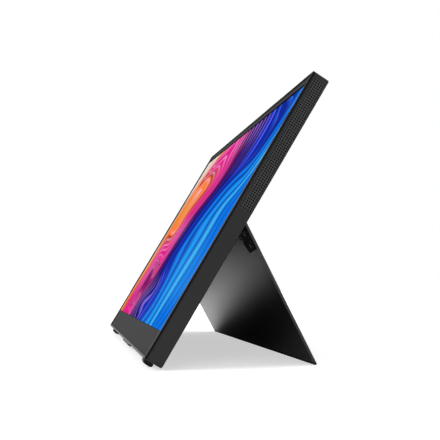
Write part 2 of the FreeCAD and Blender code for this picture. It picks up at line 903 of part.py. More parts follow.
def stand_plate():
    """The tapered plate that props the panel, notched round the hinge knuckles."""
    plate = tapered_plate(0, edge_strip_height, hinge_height, stand_inner, body_depth)
    cuts = []
    for name, side in hinge_sides:
        cuts.append(block_about(side * hinge_place, slot_half, stand_inner - overrun, body_depth + overrun,
                                hinge_height - knuckle_clear, hinge_height + overrun))
        for x, height in leaf_screw_places(side):
            cuts.append(small_rod(at(x, stand_inner - overrun, height), screw_shank_radius + fit,
                                  leaf_screw_reach + slip + overrun, inward))
    return cut_all(plate, cuts)


def stand_edge():
    """The rubber edge along the foot of the stand."""
    return tapered_plate(0, 0, edge_strip_height, stand_inner, body_depth)


# Assembly
fixed = {
    "cover_glass": cover_glass(),
    "display_cell": display_cell(),
    "film_stack": light_sheet(cell_back, film_back),
    "light_guide": light_sheet(film_back, guide_back),
    "reflector_sheet": light_sheet(guide_back, reflector_back),
    "light_bar": light_bar(),
    "display_tray": display_tray(),
    "driver_board": driver_board(),
    "driver_foils": driver_foils(),
    "front_frame": front_frame(),
    "rear_cover": rear_cover(),
    "cover_screws": cover_screws(),
    "right_grille": grille(1, right_grille_length),
    "left_grille": grille(-1, left_grille_length),
    "left_foot": foot(-1),
    "right_foot": foot(1),
    "key_surround": key_surround(),
    "key_board": key_board(),
    "key_switches": key_switches(),
    "key_cable": key_cable(),
    "main_board": main_board(),
    "scaler_chip": scaler_chip(),
    "shield_can": shield_can(),
    "insulator_sheet": insulator_sheet(),
    "display_cable": display_cable(),
    "upper_usb_socket": usb_socket(upper_usb_rise),
    "lower_usb_socket": usb_socket(lower_usb_rise),
    "video_socket": video_socket(),
    "audio_socket": audio_socket(),
    "left_speaker": speaker(-1),
    "right_speaker": speaker(1),
    "left_speaker_lead": left_speaker_lead(),
    "right_speaker_lead": right_speaker_lead(),
}
for name, centre in zip(key_names, key_centres()):
    fixed[name] = key(centre)
moving = {
    "stand_plate": stand_plate(),
    "stand_edge": stand_edge(),
    "leaf_screws": leaf_screws(),
}
for name, side in hinge_sides:
    fixed[name + "_hinge_bracket"] = hinge_bracket(side)
    fixed[name + "_hinge_pin"] = hinge_pin(side)
    moving[name + "_hinge_leaf"] = hinge_leaf(side)

for shape in moving.values():
    shape.rotate(at(0, hinge_depth, hinge_height), right, open_angle)
pieces = {**fixed, **moving}
for shape in pieces.values():
    shape.rotate(at(0, 0, 0), right, -lean_angle)
boxes = [shape.optimalBoundingBox(False, False) for shape in pieces.values()]
middle = (min(box.YMin for box in boxes) + max(box.YMax for box in boxes)) / 2
ground = Part.makeBox(body_width, body_width, body_width, at(-half_width, -half_width, -body_width))

os.makedirs("parts", exist_ok=True)
for name, shape in pieces.items():
    shape.translate(at(0, -middle, floor_drop))
    if name in ("left_foot", "right_foot", "stand_edge"):
        shape = shape.cut(ground)
    shape.exportStep("parts/" + name + ".step")
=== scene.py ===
"""Portable monitor on its folding stand: punched grilles, key caps, screws, finishes, camera and light."""
import json
import math

import bpy
from mathutils import Matrix, Vector


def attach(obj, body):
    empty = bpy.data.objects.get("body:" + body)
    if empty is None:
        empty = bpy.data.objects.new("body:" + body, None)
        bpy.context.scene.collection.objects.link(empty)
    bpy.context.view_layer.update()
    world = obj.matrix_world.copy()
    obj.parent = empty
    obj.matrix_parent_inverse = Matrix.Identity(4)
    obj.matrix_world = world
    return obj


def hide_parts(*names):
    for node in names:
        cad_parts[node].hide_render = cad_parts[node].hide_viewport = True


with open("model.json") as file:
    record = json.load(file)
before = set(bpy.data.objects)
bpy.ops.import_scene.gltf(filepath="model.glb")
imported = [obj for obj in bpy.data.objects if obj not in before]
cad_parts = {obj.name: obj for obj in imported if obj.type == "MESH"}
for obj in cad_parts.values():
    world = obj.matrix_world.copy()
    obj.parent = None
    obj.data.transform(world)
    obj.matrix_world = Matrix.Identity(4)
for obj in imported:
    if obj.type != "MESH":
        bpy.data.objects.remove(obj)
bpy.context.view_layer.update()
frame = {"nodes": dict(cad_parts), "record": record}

nodes = frame["nodes"]
mm = 0.001

# The panel's own frame: X to the right, Y into the panel from the front of the rim, Z up the panel
lean = math.radians(30.8)
panel_shift = (0, -56.7586 * mm, 6.87598 * mm)
panel_place = Matrix.Translation(panel_shift) @ Matrix.Rotation(-lean, 4, "X")
panel_home = panel_place.inverted() @ Vector((0, 0, 0))
half_width = 161.0 * mm
picture_width = 309.4 * mm
picture_height = 174.0 * mm
picture_foot = 18.2 * mm

# The stand is drawn folded flat in the panel's frame and opens about the hinge line
hinge_depth = 9.9 * mm
hinge_height = 97.8 * mm
stand_turn = Matrix.Rotation(math.radians(58.922), 4, "X")
hinge_line = Matrix.Translation((0, hinge_depth, hinge_height))
stand_place = panel_place @ hinge_line @ stand_turn @ hinge_line.inverted()

# The punched strips in the side walls
hole_pitch = 1.59 * mm
hole_radius = 0.55 * mm
hole_corners = 12
hole_columns = 5
right_rows = 59
left_rows = 8
strip_thickness = 0.9 * mm
strip_rim = 0.73 * mm
strip_front = 3.67 * mm
strip_top = 197.5 * mm
weld_gap = 0.01 * mm
edge_reach = 0.02 * mm

# The screws: flat heads with a cross recess on plain shanks, each turned on from the last by some degrees
head_radius = 1.5 * mm
head_height = 0.5 * mm
head_corners = 32
head_bevel = 0.16 * mm
recess_arm = 0.62 * head_radius
recess_slot = 0.14 * head_radius
recess_depth = 0.7 * head_height
shank_radius = 0.7 * mm
shank_corners = 16
shank_bevel = 0.2 * mm
first_turn = 17
turn_step = 31
to_front = -1
to_back = 1

# Where they go: three in each hinge leaf, by shares of the leaf, and two on each side of the cover
leaf_face = 9.3 * mm
leaf_middle = 145.0 * mm
leaf_width = 23.4 * mm
leaf_length = 20.0 * mm
leaf_shares = ((-0.28, 0.42), (0.22, 0.36), (0.22, 0.76))
leaf_reach = 1.3 * mm
cover_face = 9.7 * mm
cover_height = 5.4 * mm
cover_shares = (0.37, 0.75)
cover_reach = 2.7 * mm

# The keys in the lower edge: a cap that shows and a collar that holds it in
key_names = ("power", "menu", "back", "down", "up")
key_pitch = 11.0 * mm
key_top = 2.5 * mm
cap_half = 4.0 * mm
cap_front = 3.9 * mm
cap_back = 6.5 * mm
cap_foot = -2.2 * mm
cap_round = 0.45 * mm
collar_half = 4.6 * mm
collar_front = 3.3 * mm
collar_back = 7.1 * mm
collar_foot = 1.8 * mm
collar_bevel = 0.15 * mm

right_angle = math.radians(90)
smooth_angle = math.radians(35)
facing_up = 0.9

# The new pieces, each with the slot of its finish
fitted = []


# Modelling helpers
def fresh():
    """Leaves edit mode with nothing selected, so that the next primitive stands alone."""
    if bpy.context.mode != "OBJECT":
        bpy.ops.object.mode_set(mode="OBJECT")
    bpy.ops.object.select_all(action="DESELECT")


def active():
    """The piece that the last operator left active."""
    return bpy.context.view_layer.objects.active


def pick(*pieces):
    """Selects these pieces alone and makes the first one active."""
    fresh()
    for piece in pieces:
        piece.select_set(True)
    bpy.context.view_layer.objects.active = pieces[0]


def select_where(piece, test, mode="VERT"):
    """Selects, in edit mode, the vertices or faces of the piece that pass a test."""
    bpy.ops.object.mode_set(mode="EDIT")
    bpy.ops.mesh.select_mode(type=mode)
    bpy.ops.mesh.select_all(action="DESELECT")
    bpy.ops.object.mode_set(mode="OBJECT")
    for item in piece.data.polygons if mode == "FACE" else piece.data.vertices:
        item.select = bool(test(item))
    bpy.ops.object.mode_set(mode="EDIT")


def modify(piece, kind, **settings):
    """Adds a modifier with its settings and applies it at once."""
    pick(piece)
    modifier = piece.modifiers.new(kind.title(), kind)
    for name, value in settings.items():
        setattr(modifier, name, value)
    bpy.ops.object.modifier_apply(modifier=modifier.name)


def to_mesh():
    """Takes the place, turn and size of the selected piece into its mesh."""
    bpy.ops.object.transform_apply(location=True, rotation=True, scale=True)


def settle(piece, place):
    """Moves a finished piece to its place in the row frame and leaves its object at the origin."""
    pick(piece)
    piece.matrix_world = place @ piece.matrix_world
    bpy.context.view_layer.update()
    to_mesh()


def smooth(piece):
    """Shades the rounded edges of a piece smooth and keeps its corners sharp."""
    pick(piece)
    bpy.ops.object.shade_smooth_by_angle(angle=smooth_angle)


def gather(name, pieces):
    """Joins pieces into one object with one mesh."""
    pick(*pieces)
    bpy.ops.object.join()
    whole = active()
    whole.name = name
    whole.data.name = name
    return whole


def copy_at(piece, place):
    """A copy of a piece with its own mesh, moved by a matrix."""
    pick(piece)
    bpy.ops.object.duplicate(linked=False)
    twin = active()
    twin.matrix_world = place @ twin.matrix_world
    return twin


def remove(piece):
    """Deletes a piece that has done its work."""
    pick(piece)
    bpy.ops.object.delete()


def block(low, high):
    """A block between two corners, with its size in its mesh."""
    fresh()
    middle = [(a + b) / 2 for a, b in zip(low, high)]
    bpy.ops.mesh.primitive_cube_add(size=1, location=middle)
    piece = active()
    piece.scale = [b - a for a, b in zip(low, high)]
    pick(piece)
    to_mesh()
    return piece


def fit(piece, body, node, slot):
    """Makes a finished piece ride a body in place of a CAD node, and notes the slot of its finish."""
    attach(piece, body)
    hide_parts(node)
    fitted.append((piece, slot))


# Punched grilles
def punched_strip(name, rows):
    """A strip of square cells, each with a round hole, drawn flat with its outer face up."""
    fresh()
    bpy.ops.mesh.primitive_plane_add(size=hole_pitch)
    strip = active()
    bpy.ops.object.mode_set(mode="EDIT")
    bpy.ops.mesh.select_all(action="SELECT")
    bpy.ops.mesh.delete(type="ONLY_FACE")
    bpy.ops.mesh.select_all(action="SELECT")
    bpy.ops.mesh.subdivide(number_cuts=2)
    bpy.ops.mesh.primitive_circle_add(vertices=hole_corners, radius=hole_radius, fill_type="NOTHING",
                                      rotation=(0, 0, math.pi / hole_corners))
    bpy.ops.mesh.select_all(action="SELECT")
    bpy.ops.mesh.bridge_edge_loops()
    for count, step in ((hole_columns, (hole_pitch, 0, 0)), (rows, (0, -hole_pitch, 0))):
        modify(strip, "ARRAY", count=count, use_relative_offset=False, use_constant_offset=True,
               constant_offset_displace=step, use_merge_vertices=True, merge_threshold=weld_gap)
    trim = hole_pitch / 2 - strip_rim
    left = -hole_pitch / 2
    right = left + hole_columns * hole_pitch
    top = hole_pitch / 2
    foot = top - rows * hole_pitch
    edges = ((lambda vertex: vertex.co.x < left + edge_reach, (trim, 0, 0)),
             (lambda vertex: vertex.co.x > right - edge_reach, (-trim, 0, 0)),
             (lambda vertex: vertex.co.y > top - edge_reach, (0, -trim, 0)),
             (lambda vertex: vertex.co.y < foot + edge_reach, (0, trim, 0)))
    for test, shift in edges:
        select_where(strip, test)
        bpy.ops.transform.translate(value=shift)
    bpy.ops.mesh.select_all(action="SELECT")
    bpy.ops.mesh.normals_make_consistent(inside=False)
    fresh()
    if strip.data.polygons[0].normal.z < 0:
        select_where(strip, lambda vertex: True)
        bpy.ops.mesh.flip_normals()
    modify(strip, "SOLIDIFY", thickness=strip_thickness, offset=-1)
    strip.name = name
    strip.data.name = name
    return strip


def side_strip(node, side, rows):
    """Stands a punched strip in its seat, flush with the right (1) or left (-1) side wall."""
    strip = punched_strip(node + "_strip", rows)
    back = strip_front + (hole_columns - 1) * hole_pitch
    first = strip_front if side > 0 else back
    across = Vector((0, side, 0))
    up = Vector((0, 0, 1))
    out = Vector((side, 0, 0))
    turn = Matrix((across, up, out)).transposed().to_4x4()
    settle(strip, panel_place @ Matrix.Translation((side * half_width, first, strip_top)) @ turn)
    fit(strip, "monitor", node, "grille_plastic")


side_strip("right_grille", 1, right_rows)
side_strip("left_grille", -1, left_rows)


# Screws
def round_bar(corners, radius, top, length):
    """A plain round bar that runs down from a height."""
    fresh()
    bpy.ops.mesh.primitive_cylinder_add(vertices=corners, radius=radius, depth=length,
                                        location=(0, 0, top - length / 2))
    to_mesh()
    return active()


def cross_screw(reach):
    """A flat screw head with a cross recess, its top at the origin facing up, on a plain shank."""
    head = round_bar(head_corners, head_radius, 0, head_height)
    select_where(head, lambda face: face.normal.z > facing_up, "FACE")
    bpy.ops.mesh.bevel(offset=head_bevel, segments=2, affect="EDGES")
    fresh()
    for x, y in ((recess_arm, recess_slot), (recess_slot, recess_arm)):
        bar = block((-x, -y, -recess_depth), (x, y, recess_depth))
        modify(head, "BOOLEAN", operation="DIFFERENCE", object=bar, solver="EXACT")
        remove(bar)
    shank = round_bar(shank_corners, shank_radius, -head_height, reach)
    select_where(shank, lambda face: face.normal.z < -facing_up, "FACE")
    bpy.ops.mesh.bevel(offset=shank_bevel, segments=1, affect="EDGES")
    return gather("screw", [head, shank])


def screw_set(name, places, reach, facing, place, body, node):
    """A set of like screws at places in the panel's frame, their heads to the front or the back."""
    screw = cross_screw(reach)
    face = Matrix.Rotation(-facing * right_angle, 4, "X")
    twins = []
    for number, spot in enumerate(places):
        spin = Matrix.Rotation(math.radians(first_turn + turn_step * number), 4, "Z")
        twins.append(copy_at(screw, Matrix.Translation(spot) @ face @ spin))
    remove(screw)
    whole = gather(name, twins)
    to_mesh()
    settle(whole, place)
    smooth(whole)
    fit(whole, body, node, "screw_steel")


leaf_spots = [(side * (leaf_middle + across * leaf_width), leaf_face, hinge_height - along * leaf_length)
              for side in (-1, 1) for across, along in leaf_shares]
cover_spots = [(side * share * half_width, cover_face, cover_height)
               for side in (-1, 1) for share in cover_shares]
screw_set("leaf_screw_set", leaf_spots, leaf_reach, to_front, stand_place, "stand", "leaf_screws")
screw_set("cover_screw_set", cover_spots, cover_reach, to_back, panel_place, "monitor", "cover_screws")

# Keys
for number, key in enumerate(key_names):
    centre = (number - (len(key_names) - 1) / 2) * key_pitch
    cap = block((centre - cap_half, cap_front, cap_foot), (centre + cap_half, cap_back, key_top))
    modify(cap, "BEVEL", width=cap_round, segments=3, limit_method="NONE")
    collar = block((centre - collar_half, collar_front, collar_foot),
                   (centre + collar_half, collar_back, key_top))
    modify(collar, "BEVEL", width=collar_bevel, segments=1, limit_method="NONE")
    whole = gather(key + "_key_cap", [cap, collar])
    settle(whole, panel_place)
    smooth(whole)
    fit(whole, key + "_button", key + "_key", "key_plastic")

# The patterns in the finishes: the sizes of mottle and grain, and the range that most of a noise keeps to
mottle_width = 60.0 * mm
grain_depth = 0.05 * mm
print_grain = 0.6 * mm
noise_low = 0.3
noise_high = 0.7

# The picture: widths of its sways, folds, threads and bunches, and how far the ribbons lean as a share of it
sway_width = 206.2667 * mm
fold_width = 44.2 * mm
thread_spacing = 10.31333 * mm
bunch_width = 119.0 * mm
ribbon_tilt = -0.24

# The print on the glass: how far it keeps from the picture, below and above, and the share of its gloss coat
chin_gap = 0.3 * mm
brow_gap = 2.5 * mm
print_coat = 0.22

# The rim, by depths behind its front: where the polish ends, and where its colour turns
polish_depth = 0.45 * mm
skirt_start = 1.1 * mm
skirt_end = 1.9 * mm

# A face of the stand's sheet is a cut edge, which gets a painted highlight, where its normal points to the
# side by more than this
side_facing = 0.8

# A colour Mix node's sockets, which go by number: its share, its two colours and its result
mix_share = 0
mix_under = 6
mix_over = 7
mix_result = 2


# Material helpers
def colour(code):
    """A linear colour from an sRGB hex value."""
    parts = [int(code[place:place + 2], 16) / 255 for place in (1, 3, 5)]
    return [part / 12.92 if part <= 0.04045 else ((part + 0.055) / 1.055) ** 2.4 for part in parts] + [1.0]


def put(tree, kind, plugs=None, stops=None, **settings):
    """Adds a node with its settings, and sets or links its inputs."""
    node = tree.nodes.new(kind)
    for name, value in settings.items():
        setattr(node, name, value)
    if stops:
        ramp = node.color_ramp
        while len(ramp.elements) < len(stops):
            ramp.elements.new(1.0)
        for element, (place, code) in zip(ramp.elements, stops):
            element.position = place
            element.color = colour(code)
    for socket, value in (plugs or {}).items():
        if isinstance(value, bpy.types.NodeSocket):
            tree.links.new(value, node.inputs[socket])
        else:
            node.inputs[socket].default_value = value
    return node


def new_material(name):
    """An empty node material and its shader."""
    material = bpy.data.materials.new(name)
    material.use_nodes = True
    tree = material.node_tree
    tree.nodes.clear()
    shader = put(tree, "ShaderNodeBsdfPrincipled")
    put(tree, "ShaderNodeOutputMaterial", {"Surface": shader.outputs["BSDF"]})
    return material, tree, shader


def grained(name, dark, light, grain, rough, relief, metallic=0.0, ior=1.5, specular=0.5, stretch=(1, 1, 1),
            edge_highlight=None, polished_front=0.0, skirt=None):
    """A finish with a fine grain of a given size in mm, which varies its colour, roughness and relief."""
    material, tree, shader = new_material(name)
    place = put(tree, "ShaderNodeTexCoord").outputs["Object"]
    drawn = put(tree, "ShaderNodeMapping", {"Vector": place, "Scale": stretch})
    fine = put(tree, "ShaderNodeTexNoise", {"Vector": drawn.outputs["Vector"], "Scale": 1 / (grain * mm),
                                            "Detail": 3.0, "Roughness": 0.6}).outputs["Fac"]
    broad = put(tree, "ShaderNodeTexNoise", {"Vector": place, "Scale": 1 / mottle_width,
                                             "Detail": 2.0}).outputs["Fac"]
    blend = put(tree, "ShaderNodeMath", {0: fine, 1: broad}, operation="ADD")
    half = put(tree, "ShaderNodeMath", {0: blend.outputs[0], 1: 0.5}, operation="MULTIPLY")
    tint = put(tree, "ShaderNodeValToRGB", {"Fac": half.outputs[0]},
               [(0.35, dark), (0.65, light)]).outputs["Color"]
    gloss = put(tree, "ShaderNodeMapRange", {"Value": fine, "From Min": noise_low, "From Max": noise_high,
                                             "To Min": rough[0], "To Max": rough[1]})
    bump = put(tree, "ShaderNodeBump", {"Height": fine, "Strength": relief, "Distance": grain_depth})
    # Faces that point to the side are painted a lighter grey: a painted highlight along the cut edges
    if edge_highlight:
        normal = put(tree, "ShaderNodeNewGeometry").outputs["True Normal"]
        facing = put(tree, "ShaderNodeSeparateXYZ", {0: normal})
        turned = put(tree, "ShaderNodeMath", {0: facing.outputs["X"]}, operation="ABSOLUTE")
        highlight_faces = put(tree, "ShaderNodeMath", {0: turned.outputs[0], 1: side_facing},
                       operation="GREATER_THAN")
        tint = put(tree, "ShaderNodeMix", {mix_share: highlight_faces.outputs[0], mix_under: tint,
                                           mix_over: colour(edge_highlight)}, data_type="RGBA").outputs[mix_result]
    if polished_front:
        # Close to the front the mould was polished, so the edge holds a thin bright line
        upright = put(tree, "ShaderNodeMapping", {"Vector": place, "Rotation": (lean, 0, 0),
                                                  "Location": panel_home})
        depth = put(tree, "ShaderNodeSeparateXYZ", {0: upright.outputs["Vector"]}).outputs["Y"]
        front = put(tree, "ShaderNodeMath", {0: depth, 1: polish_depth}, operation="LESS_THAN")
        weight = put(tree, "ShaderNodeMath", {0: front.outputs[0], 1: polished_front}, operation="MULTIPLY")
        tree.links.new(weight.outputs[0], shader.inputs["Coat Weight"])
        shader.inputs["Coat Roughness"].default_value = 0.2
        # Behind the polished edge the rim turns to the grey of the cover that it meets
        behind = put(tree, "ShaderNodeMapRange", {"Value": depth, "From Min": skirt_start,
                                                  "From Max": skirt_end})
        tint = put(tree, "ShaderNodeMix", {mix_share: behind.outputs["Result"], mix_under: tint,
                                           mix_over: colour(skirt)}, data_type="RGBA").outputs[mix_result]
    tree.links.new(tint, shader.inputs["Base Color"])
    tree.links.new(gloss.outputs["Result"], shader.inputs["Roughness"])
    tree.links.new(bump.outputs["Normal"], shader.inputs["Normal"])
    shader.inputs["Metallic"].default_value = metallic
    shader.inputs["Specular IOR Level"].default_value = specular
    if metallic == 0.0:
        shader.inputs["IOR"].default_value = ior
    return material


def lit_glass():
    """The cover glass: a lit picture of flowing ribbons in a printed border."""
    material, tree, shader = new_material("etched_cover_glass")
    place = put(tree, "ShaderNodeTexCoord").outputs["Object"]
    upright = put(tree, "ShaderNodeMapping", {"Vector": place, "Rotation": (lean, 0, 0),
                                              "Location": panel_home}).outputs["Vector"]
    # The picture runs from 0 to 1 across and up, so a pattern's scale is the picture's width over its own
    spread = put(tree, "ShaderNodeMapping", {
        "Vector": upright, "Scale": (1 / picture_width, 0, 1 / picture_height),
        "Location": (0.5, 0, -picture_foot / picture_height)}).outputs["Vector"]
    axes = put(tree, "ShaderNodeSeparateXYZ", {"Vector": spread})
    across = axes.outputs["X"]
    up = axes.outputs["Z"]

    # Broad ribbons that lean and sway as they rise
    sway = put(tree, "ShaderNodeTexNoise", {"Vector": spread, "Scale": picture_width / sway_width,
                                            "Detail": 0.8, "Distortion": 0.9})
    swing = put(tree, "ShaderNodeMath", {0: sway.outputs["Fac"], 1: 0.5}, operation="SUBTRACT")
    tilt = put(tree, "ShaderNodeMath", {0: up, 1: ribbon_tilt, 2: -ribbon_tilt / 2},
               operation="MULTIPLY_ADD")
    leant = put(tree, "ShaderNodeMath", {0: across, 1: tilt.outputs[0]}, operation="ADD")
    course = put(tree, "ShaderNodeMath", {0: leant.outputs[0], 1: swing.outputs[0]},
                 operation="ADD").outputs[0]
    ribbons = put(tree, "ShaderNodeValToRGB", {"Fac": course}, [
        (0.00, "#ffe6da"), (0.05, "#ffbf9a"), (0.10, "#ff9138"), (0.15, "#ff6a4a"), (0.20, "#ff3f9c"),
        (0.26, "#e0148c"), (0.31, "#ff5ab4"), (0.35, "#8e1470"), (0.40, "#24104e"), (0.45, "#4a28b0"),
        (0.50, "#0c1250"), (0.57, "#1c3ce0"), (0.63, "#0c2c9c"), (0.69, "#1088ff"), (0.75, "#0c4cd0"),
        (0.81, "#1ea6ff"), (0.88, "#0c70f0"), (0.94, "#4cc8ff"), (1.00, "#0c7cf4")])

    # Folds: each ribbon is lighter along one edge, as silk is
    folds = put(tree, "ShaderNodeMath", {0: course, 1: picture_width / fold_width}, operation="MULTIPLY")
    pleat = put(tree, "ShaderNodeMath", {0: folds.outputs[0]}, operation="FRACT")
    fold = put(tree, "ShaderNodeValToRGB", {"Fac": pleat.outputs[0]}, [
        (0.00, "#8c8c8c"), (0.06, "#c0c0c0"), (0.5, "#e8e8e8"), (0.93, "#ffffff"), (1.00, "#ffffff")])
    draped = put(tree, "ShaderNodeMix", {mix_share: 1.0, mix_under: ribbons.outputs["Color"],
                                         mix_over: fold.outputs["Color"]},
                 data_type="RGBA", blend_type="MULTIPLY").outputs[mix_result]

    # Bright threads run along the folds in bunches
    threads = put(tree, "ShaderNodeMath", {0: course, 1: picture_width / thread_spacing},
                  operation="MULTIPLY")
    thread = put(tree, "ShaderNodeMath", {0: threads.outputs[0]}, operation="FRACT")
    lit_side = put(tree, "ShaderNodeMapRange", {"Value": thread.outputs[0], "From Min": 0.55,
                                                "From Max": 0.95})
    bunches = put(tree, "ShaderNodeTexNoise", {"Vector": spread, "Scale": picture_width / bunch_width,
                                               "Detail": 1.0})
    bunch = put(tree, "ShaderNodeMapRange", {"Value": bunches.outputs["Fac"], "From Min": 0.42,
                                             "From Max": 0.6, "To Max": 0.55})
    sewn = put(tree, "ShaderNodeMath", {0: lit_side.outputs["Result"], 1: bunch.outputs["Result"]},
               operation="MULTIPLY")
    silk = put(tree, "ShaderNodeValToRGB", {"Fac": course}, [
        (0.0, "#ffd2e6"), (0.45, "#e8a0ff"), (0.6, "#3c6cff"), (1.0, "#50c0ff")])
    picture = put(tree, "ShaderNodeMix", {mix_share: sewn.outputs[0], mix_under: draped,
                                          mix_over: silk.outputs["Color"]},
                  data_type="RGBA", blend_type="SCREEN").outputs[mix_result]

    # Inside the picture the glass is lit; the border is black, and the chin and the top edge are grey print
    inside_x = put(tree, "ShaderNodeMath", {0: across, 1: 0.5, 2: 0.5}, operation="COMPARE")
    inside_z = put(tree, "ShaderNodeMath", {0: up, 1: 0.5, 2: 0.5}, operation="COMPARE")
    inside = put(tree, "ShaderNodeMath", {0: inside_x.outputs[0], 1: inside_z.outputs[0]},
                 operation="MULTIPLY")
    lit = put(tree, "ShaderNodeMix", {mix_share: inside.outputs[0], mix_under: colour("#000000"),
                                      mix_over: picture}, data_type="RGBA")
    height = put(tree, "ShaderNodeSeparateXYZ", {"Vector": upright}).outputs["Z"]
    chin = put(tree, "ShaderNodeMath", {0: height, 1: picture_foot - chin_gap}, operation="LESS_THAN")
    brow = put(tree, "ShaderNodeMath", {0: height, 1: picture_foot + picture_height + brow_gap},
               operation="GREATER_THAN")
    printed = put(tree, "ShaderNodeMath", {0: chin.outputs[0], 1: brow.outputs[0]}, operation="MAXIMUM")
    grain = put(tree, "ShaderNodeTexNoise", {"Vector": place, "Scale": 1 / print_grain, "Detail": 2.0})
    print_grey = put(tree, "ShaderNodeValToRGB", {"Fac": grain.outputs["Fac"]},
                     [(noise_low, "#2b2b2d"), (noise_high, "#303032")])
    base = put(tree, "ShaderNodeMix", {mix_share: printed.outputs[0], mix_under: colour("#060607"),
                                       mix_over: print_grey.outputs["Color"]}, data_type="RGBA")
    etch = put(tree, "ShaderNodeMapRange", {"Value": grain.outputs["Fac"], "From Min": noise_low,
                                            "From Max": noise_high, "To Min": 0.42, "To Max": 0.5})
    coat = put(tree, "ShaderNodeMath", {0: printed.outputs[0], 1: print_coat}, operation="MULTIPLY")
    tree.links.new(base.outputs[mix_result], shader.inputs["Base Color"])
    tree.links.new(etch.outputs["Result"], shader.inputs["Roughness"])
    tree.links.new(lit.outputs[mix_result], shader.inputs["Emission Color"])
    tree.links.new(coat.outputs[0], shader.inputs["Coat Weight"])
    shader.inputs["Emission Strength"].default_value = 1.0
    shader.inputs["Coat Roughness"].default_value = 0.4
    shader.inputs["Coat IOR"].default_value = 1.35
    shader.inputs["Specular IOR Level"].default_value = 0.0
    return material


# Grain sizes are in mm. The real grain of such plastics, paints and platings is near 0.1 mm, too fine to
# show, so it is drawn at 0.2 to 0.8 mm.
finishes = {
    # Etched anti-reflection glass over a lit display: a deep, clear picture with no mirror image on it
    "printed_glass": lit_glass(),
    # Satin ABS, moulded: a near-black rim with a thin bright line along its front edge
    "frame_plastic": grained("satin_abs", "#060607", "#0a0a0b", 0.35, (0.3, 0.38), 0.12, specular=0.08,
                             polished_front=0.12, skirt="#323234"),
    # ABS from a spark-textured mould: an even charcoal, matt, with no clear highlight
    "cover_plastic": grained("spark_textured_abs", "#262627", "#2f2f31", 0.45, (0.45, 0.58), 0.35,
                             specular=0.25),
    # The same ABS from a smoother mould: a shade lighter, so that the punched strips stand out a little
    "grille_plastic": grained("moulded_abs", "#343435", "#3e3e3f", 0.5, (0.4, 0.52), 0.2, specular=0.4),
    # Moulded silicone rubber: dull and black, with a dry bloom
    "foot_rubber": grained("silicone_rubber", "#0c0c0d", "#151516", 0.8, (0.6, 0.75), 0.3, ior=1.42),
    # Moulded polycarbonate: black key caps with a satin sheen on their rounded edges
    "key_plastic": grained("satin_polycarbonate", "#1b1b1d", "#232326", 0.3, (0.3, 0.42), 0.15, ior=1.58),
    # Black-zinc plated steel: dark grey metal with a soft glint round the head and its cross
    "screw_steel": grained("black_zinc_steel", "#58585b", "#68686c", 0.2, (0.34, 0.46), 0.15, metallic=1.0),
    # Painted aluminium sheet: a black satin coat that carries a long soft gradient, with its cut edges
    # painted a lighter grey as a painted highlight
    "stand_metal": grained("satin_painted_aluminium", "#121214", "#171718", 0.5, (0.29, 0.36), 0.1,
                           specular=0.25, edge_highlight="#3c3c3e"),
    # E-coated steel: a flat dull black, darker than the painted sheet behind it
    "leaf_metal": grained("ecoated_steel", "#040404", "#080809", 0.4, (0.55, 0.68), 0.2, specular=0.1),
    # Blackened steel, drawn: dark metal with fine lines along the pins and knuckles
    "hinge_steel": grained("blackened_steel", "#19191b", "#252527", 0.25, (0.3, 0.42), 0.15, metallic=1.0,
                           stretch=(0.2, 1, 1)),
    # Display glass over its dark matrix: near black and smooth, with a sharp reflection
    "cell_glass": grained("display_glass", "#101114", "#17181c", 2.0, (0.08, 0.12), 0.02),
    # Acrylic film and sheet: pale and glossy, with a faint cloudiness
    "clear_film": grained("acrylic_film", "#d9dde0", "#e4e7ea", 3.0, (0.12, 0.2), 0.03, ior=1.49),
    # White polyester film: clean white with a soft even gloss
    "white_film": grained("white_polyester_film", "#e6e6e3", "#efefed", 2.0, (0.35, 0.5), 0.05),
    # Galvanised steel, pressed: pale grey metal with a faint spangle
    "tray_metal": grained("galvanised_steel", "#9a9da0", "#b4b7ba", 6.0, (0.3, 0.45), 0.08, metallic=1.0),
    # Solder mask over glass-epoxy laminate: a mottled deep green with a low gloss
    "board_laminate": grained("solder_masked_laminate", "#0e3a22", "#155231", 1.2, (0.3, 0.45), 0.1),
    # Polyimide foil: amber brown, smooth and fairly glossy
    "amber_foil": grained("polyimide_foil", "#a8621a", "#c07a28", 1.5, (0.25, 0.35), 0.05, ior=1.7),
    # Extruded PVC insulation: charcoal, slightly waxy
    "cable_plastic": grained("pvc_insulation", "#26262a", "#303036", 0.8, (0.4, 0.5), 0.1),
    # Moulded epoxy: dull black with a dry grain
    "chip_plastic": grained("moulded_epoxy", "#161618", "#1f1f22", 0.3, (0.5, 0.62), 0.2),
    # Nickel-plated steel, drawn: bright warm grey metal with fine lines along the shells
    "socket_steel": grained("nickel_plated_steel", "#b3b1ab", "#cbc9c3", 0.3, (0.18, 0.3), 0.1,
                            metallic=1.0, stretch=(0.15, 1, 1)),
    # Black polyester film: smooth black with an even gloss
    "black_film": grained("black_polyester_film", "#101011", "#18181a", 1.5, (0.25, 0.35), 0.05),
}

# Every CAD node and every new piece takes the finish of its slot
slots = [(nodes[entry["node"]], entry["material_slot"]) for entry in frame["record"]["subparts"]]
for piece, slot in slots + fitted:
    piece.data.materials.clear()
    piece.data.materials.append(finishes[slot])

# Floor: pale paper that keeps the object's shadow. Its own light rises with the distance in metres, so that
# the shadow stays under the object and the horizon is white.
floor_size = 6.0
floor_drop = 0.2 * mm
floor_glow = 0.56
glow_start = 0.3
glow_end = 1.2

# To reflections the floor is dark under the object, with a white pool to its left, and white far away
pool_across = -0.288
pool_back = 0.08125
pool_stretch = 1.6
pool_core = 0.1
pool_edge = 0.18
mirror_start = 1.6
mirror_end = 2.6

